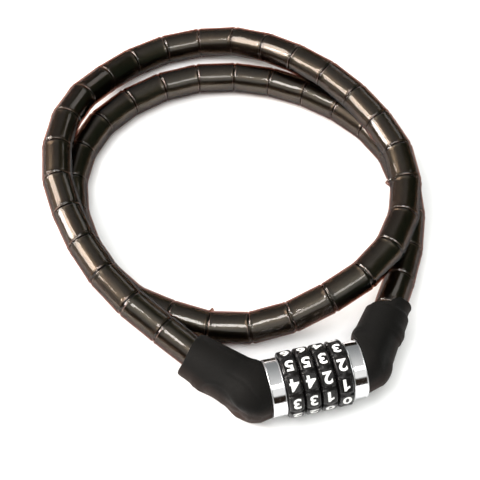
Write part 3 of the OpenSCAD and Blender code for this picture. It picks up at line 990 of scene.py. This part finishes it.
def make_digits(index, centre_x, material):
    """The ten printed digits of one dial, on its flats, with their tops turned down at the front."""
    first_angle, first_value = DIAL_DIGITS[index]
    points, faces, used = [], [], 0
    for step in range(10):
        angle = math.radians(first_angle + step * DIGIT_STEP)
        shape, shape_faces = DIGITS[(first_value - step) % 10]
        normal = np.array([0, -math.sin(angle), math.cos(angle)])
        upward = np.array([0, -math.cos(angle), -math.sin(angle)])
        wide = shape[:, 0] * DIGIT_WIDTH / WIDEST
        tall = shape[:, 1] * DIGIT_HEIGHT
        lift = FLAT_RADIUS + np.where(shape[:, 2] > 0, DIGIT_RISE, -DIGIT_SINK)
        centre = np.array([centre_x, 0, AXIS_HEIGHT])
        placed = centre + lift[:, None] * normal + tall[:, None] * upward
        placed[:, 0] -= wide
        points.append(placed)
        faces += [tuple(used + k for k in face) for face in shape_faces]
        used += len(shape)
    return add_piece(f"digits_{index + 1}", np.vstack(points), faces, [material], smooth=False)


dial_plastic = principled("dial_plastic", (0.005, 0.005, 0.005), (0.008, 0.007, 0.007), (0.24, 0.34),
                          grain=1100.0, bump=0.08, blotch=60.0, specular=0.25, depth=0.00002)
digit_paint = principled("digit_paint", (0.92, 0.92, 0.90), (0.80, 0.80, 0.78), (0.35, 0.55),
                         grain=1600.0, bump=0.3, blotch=400.0)
for index in range(4):
    low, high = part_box(f"dial_{index + 1}")
    centre_x = (low.x + high.x) / 2 / MM
    ring = make_dial(index, centre_x, dial_plastic)
    digits = make_digits(index, centre_x, digit_paint)
    for piece in (ring, digits):
        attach(piece, f"dial_{index + 1}_body")
    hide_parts(f"dial_{index + 1}")


# ---------------------------------------------------------------- collars

chrome = principled("chrome", (0.82, 0.82, 0.83), (0.74, 0.74, 0.76), (0.09, 0.13), 1.0,
                    grain=140.0, bump=0.002, blotch=90.0, depth=0.00004)
satin_chrome = principled("satin_chrome", (0.72, 0.72, 0.73), (0.66, 0.66, 0.68), (0.34, 0.42), 1.0,
                          grain=140.0, bump=0.002, blotch=90.0)
COLLAR_WALL = 2.0
COLLAR_LIP = 0.45
COLLAR_SEGMENTS = 144
# The steps down from the lip to the band: distance past the lip, and drop below the full radius
LIP_STEPS = ((0.12, 0.0), (0.32, 0.10), (0.40, 0.105))
BAND_START = COLLAR_LIP + 0.7
BAND_DROP = 0.11
# The strip at each end of a collar that is satin chrome
SATIN_WIDTH = COLLAR_LIP + 0.3


def make_collar(name, node):
    """A chrome ring: a plain band between two rolled satin lips, open through the middle."""
    low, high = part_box(node)
    length = (high.x - low.x) / MM
    outline = [(0.0, COLLAR_RADIUS - COLLAR_WALL)]
    for t in np.linspace(0, math.pi / 2, 6):
        outline.append((COLLAR_LIP * (1 - math.cos(t)), COLLAR_RADIUS - COLLAR_LIP * (1 - math.sin(t))))
    outline += [(COLLAR_LIP + past, COLLAR_RADIUS - drop) for past, drop in LIP_STEPS]
    rising = len(outline)
    for x in np.linspace(BAND_START, length - BAND_START, 9):
        outline.append((x, COLLAR_RADIUS - BAND_DROP))
    outline += [(length - x, radius) for x, radius in reversed(outline[1:rising])]
    outline.append((length, COLLAR_RADIUS - COLLAR_WALL))
    piece = turned_ring(name, outline, low.x / MM, COLLAR_SEGMENTS, [chrome, satin_chrome])
    for face in piece.data.polygons:
        along = (face.center.x - low.x) / MM
        face.material_index = int(min(along, length - along) < SATIN_WIDTH)
    return piece


for node in ("left_collar", "right_collar"):
    piece = make_collar(f"{node}_ring", node)
    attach(piece, "root")
    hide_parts(node)


# ---------------------------------------------------------------- carried-over CAD parts

brass = principled("brass", (0.72, 0.50, 0.20), (0.56, 0.38, 0.15), (0.22, 0.38), 1.0,
                   grain=700.0, bump=0.2, stretch=(6, 1, 1))
zinc = principled("die_cast_zinc", (0.42, 0.42, 0.43), (0.34, 0.34, 0.35), (0.38, 0.55), 1.0,
                  grain=900.0, bump=0.5)
machined = principled("machined_steel", (0.60, 0.60, 0.61), (0.52, 0.52, 0.53), (0.18, 0.34), 1.0,
                      grain=600.0, bump=0.2, stretch=(8, 1, 1))
spring = principled("spring_steel", (0.30, 0.31, 0.34), (0.22, 0.22, 0.24), (0.25, 0.42), 1.0,
                    grain=800.0, bump=0.2)
finishes = {
    "brass_disc": brass, "zinc_casting": zinc, "machined_steel": machined, "dark_steel": spring,
    "chrome": chrome, "dial_plastic": dial_plastic, "boot_rubber": rubber,
    "sheath_pvc": sheath_outside, "armour_steel": armour, "rope_steel": wire_rope,
}
slot_of = {part["node"]: part["material_slot"] for part in frame["record"]["subparts"]}
for node, piece in frame["nodes"].items():
    piece.data.materials.clear()
    piece.data.materials.append(finishes[slot_of[node]])


# ---------------------------------------------------------------- floor and light

FLOOR_RADIUS = 2.6
FLOOR_CORNERS = 96


def add_floor():
    """A plain pale floor, lit so brightly that it reads as white."""
    mesh = bpy.data.meshes.new("floor")
    angles = np.arange(FLOOR_CORNERS) * 2 * math.pi / FLOOR_CORNERS
    points = [(FLOOR_RADIUS * math.cos(a), FLOOR_RADIUS * math.sin(a), 0.0) for a in angles]
    mesh.from_pydata(points, [], [tuple(range(len(points)))])
    material, nodes, surface = new_material("floor")
    diffuse = nodes.add("ShaderNodeBsdfDiffuse")
    paper = nodes.ramp(nodes.noise(30.0), 0.0, 1.0)
    nodes.join(nodes.blend(paper, rgb(0.90, 0.90, 0.90), rgb(0.92, 0.92, 0.92)), diffuse.inputs["Color"])
    nodes.join(diffuse.outputs[0], surface)
    mesh.materials.append(material)
    floor = bpy.data.objects.new("floor", mesh)
    bpy.context.scene.collection.objects.link(floor)
    floor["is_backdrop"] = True


def direction(azimuth, elevation):
    """Azimuth 0 is the front, 90 the right; elevation is above the horizon, in degrees."""
    a, e = math.radians(azimuth), math.radians(elevation)
    return Vector((math.sin(a) * math.cos(e), -math.cos(a) * math.cos(e), math.sin(e)))


LIT_POINT = Vector((0.0, 0.10, 0.015))


def add_softbox(name, azimuth, elevation, distance, width, height, radiance, tint=(1, 1, 1)):
    """A rectangular light aimed at the lock. radiance is how bright its face looks."""
    data = bpy.data.lights.new(name, "AREA")
    data.shape = "RECTANGLE"
    data.size = width
    data.size_y = height
    data.energy = radiance * width * height * 4
    data.color = tint
    light = bpy.data.objects.new(name, data)
    light.location = LIT_POINT + direction(azimuth, elevation) * distance
    light.rotation_euler = (LIT_POINT - light.location).to_track_quat("-Z", "Y").to_euler()
    bpy.context.scene.collection.objects.link(light)
    return light


def add_world():
    """Grey behind, brighter to near white in front above a dark band, and dark on the right."""
    world = bpy.data.worlds.new("studio")
    world.use_nodes = True
    bpy.context.scene.world = world
    nodes = Nodes(world.node_tree)
    output = nodes.add("ShaderNodeOutputWorld")
    background = nodes.add("ShaderNodeBackground")
    split = nodes.add("ShaderNodeSeparateXYZ")
    nodes.join(nodes.add("ShaderNodeTexCoord").outputs["Generated"], split.inputs[0])
    front = nodes.ramp(split.outputs["Y"], 0.0, 1.0, 0.94, -0.69)
    sky = nodes.blend(front, rgb(0.28, 0.29, 0.29), rgb(1.06, 1.06, 1.03))
    facing_front = nodes.ramp(split.outputs["Y"], 0.0, 1.0, -0.10, -0.30)
    low = nodes.ramp(split.outputs["Z"], 1.0, 0.0, 0.44, 0.52)
    band = nodes.maths("MULTIPLY", facing_front, low)
    right = nodes.ramp(split.outputs["X"], 0.0, 1.0, 0.20, 0.42)
    middle = nodes.blend(band, sky, rgb(0.022, 0.014, 0.010))
    colour = nodes.blend(right, middle, rgb(0.07, 0.10, 0.065))
    nodes.join(colour, background.inputs["Color"])
    nodes.join(background.outputs[0], output.inputs["Surface"])


add_floor()
add_world()
add_softbox("box_left", -112, 34, 1.3, 0.9, 0.6, 10.5, (1.0, 0.91, 0.83))
add_softbox("box_left_core", -112, 22, 1.25, 0.20, 0.45, 20.0)
add_softbox("box_top_left", -66, 66, 1.3, 0.34, 0.34, 10.0)
add_softbox("box_back_right", 142, 28, 1.3, 0.55, 0.36, 1.6)
add_softbox("box_front_top", 0, 64, 1.4, 0.60, 0.30, 4.0)
overhead = add_softbox("overhead", 0, 85, 1.5, 1.5, 1.5, 2.1)
overhead.visible_glossy = False

scene = bpy.context.scene
scene.view_settings.view_transform = "Standard"
scene.cycles.transparent_max_bounces = 32

low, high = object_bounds()
("[" + ", ".join(str([round(v, 5) for v in corner])
                            for corner in (cad_low, cad_high, low, high)) + "]\n")
